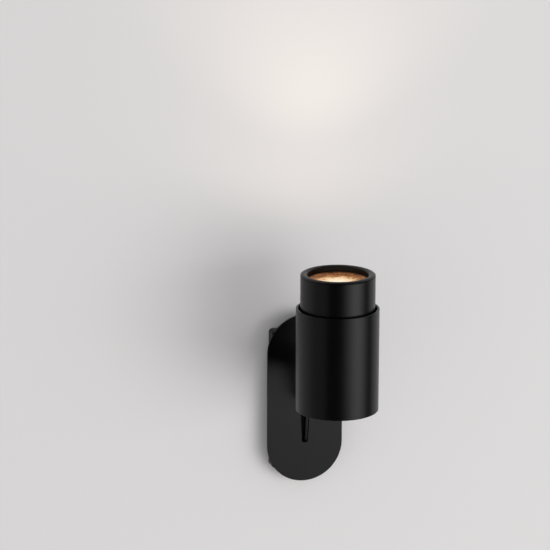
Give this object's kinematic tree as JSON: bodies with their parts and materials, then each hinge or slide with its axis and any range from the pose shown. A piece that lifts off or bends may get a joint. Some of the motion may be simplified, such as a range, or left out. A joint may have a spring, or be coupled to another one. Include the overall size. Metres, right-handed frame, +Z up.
{
  "type": "pivoting spotlight wall light",
  "caption": "Wall spotlight: an upright two-step tube with a lit reflector lamp turns on an arm that folds down into a tapered slot in a pill-shaped wall plate.",
  "frame": {"origin": "middle of the wall bracket's back face, on the wall", "axes": "+Y into the wall, +Z up, +X to the right of someone who faces the wall; the light stands out towards -Y"},
  "size_m": [0.0668, 0.1274, 0.2005],
  "materials": {
    "black_steel": "satin black powder coat on sheet steel",
    "black_aluminium": "satin black powder coat on aluminium",
    "black_screw": "black oxide steel",
    "zinc_steel": "bright zinc plated steel",
    "bare_aluminium": "turned aluminium, uncoated",
    "rubber_black": "moulded rubber, matte",
    "nylon": "natural nylon",
    "terminal_plastic": "moulded polyamide",
    "earth_brass": "plain brass",
    "wire_sleeve": "silicone sleeve",
    "holder_ceramic": "unglazed steatite",
    "lamp_body": "dark lamp body",
    "lamp_mirror": "warm metallised reflector",
    "lamp_light": "phosphor, lit",
    "lamp_glass": "moulded lens, lit from below"
  },
  "bodies": {
    "wall_side": {"wall_bracket": "zinc_steel", "cable_grommet": "rubber_black", "housing": "black_steel", "wall_plate": "black_steel", "plate_studs": "zinc_steel", "stud_nuts": "zinc_steel", "hinge_channel": "black_steel", "hinge_pin": "zinc_steel", "hinge_washers": "nylon", "hinge_springs": "zinc_steel", "hinge_nut": "zinc_steel", "bracket_grub_screws": "black_screw", "terminal_block": "terminal_plastic", "terminal_screws": "zinc_steel", "terminal_fixings": "zinc_steel", "earth_screw": "earth_brass", "earth_tag": "zinc_steel", "box_leads": "wire_sleeve"},
    "arm": {"arm": "black_aluminium", "arm_cover": "black_aluminium", "arm_leads": "wire_sleeve", "swivel_cap": "black_aluminium"},
    "head": {"swivel_stud": "zinc_steel", "swivel_rear_nut": "zinc_steel", "swivel_wave_washer": "zinc_steel", "swivel_face_washer": "nylon", "swivel_saddle": "black_aluminium", "stop_pin": "zinc_steel", "clamp_block": "bare_aluminium", "clamp_washer": "zinc_steel", "swivel_front_nut": "zinc_steel", "sleeve": "black_aluminium", "seat_ring": "bare_aluminium", "tube_base": "bare_aluminium", "base_screws": "zinc_steel", "inner_tube": "black_aluminium", "lip_ring": "black_aluminium", "bottom_cap": "black_aluminium", "cap_pillars": "zinc_steel", "cap_screws": "black_screw", "holder_bracket": "zinc_steel", "bracket_screws": "zinc_steel", "lampholder": "holder_ceramic", "holder_screws": "zinc_steel", "head_leads": "wire_sleeve", "lamp_shell": "lamp_body", "lamp_reflector": "lamp_mirror", "lamp_emitter": "lamp_light", "lamp_lens": "lamp_glass", "lamp_base": "holder_ceramic", "lamp_pins": "zinc_steel"}
  },
  "joints": [
    {"name": "arm_tilt", "type": "hinge", "parent": "wall_side", "child": "arm", "pos_m": [0, -0.0066, 0], "axis": [1, 0, 0], "range_deg": [0, 90]},
    {"name": "head_swivel", "type": "hinge", "parent": "arm", "child": "head", "pos_m": [0, -0.05, 0.03], "axis": [0, -1, 0], "range_deg": [0, 345]}
  ]
}
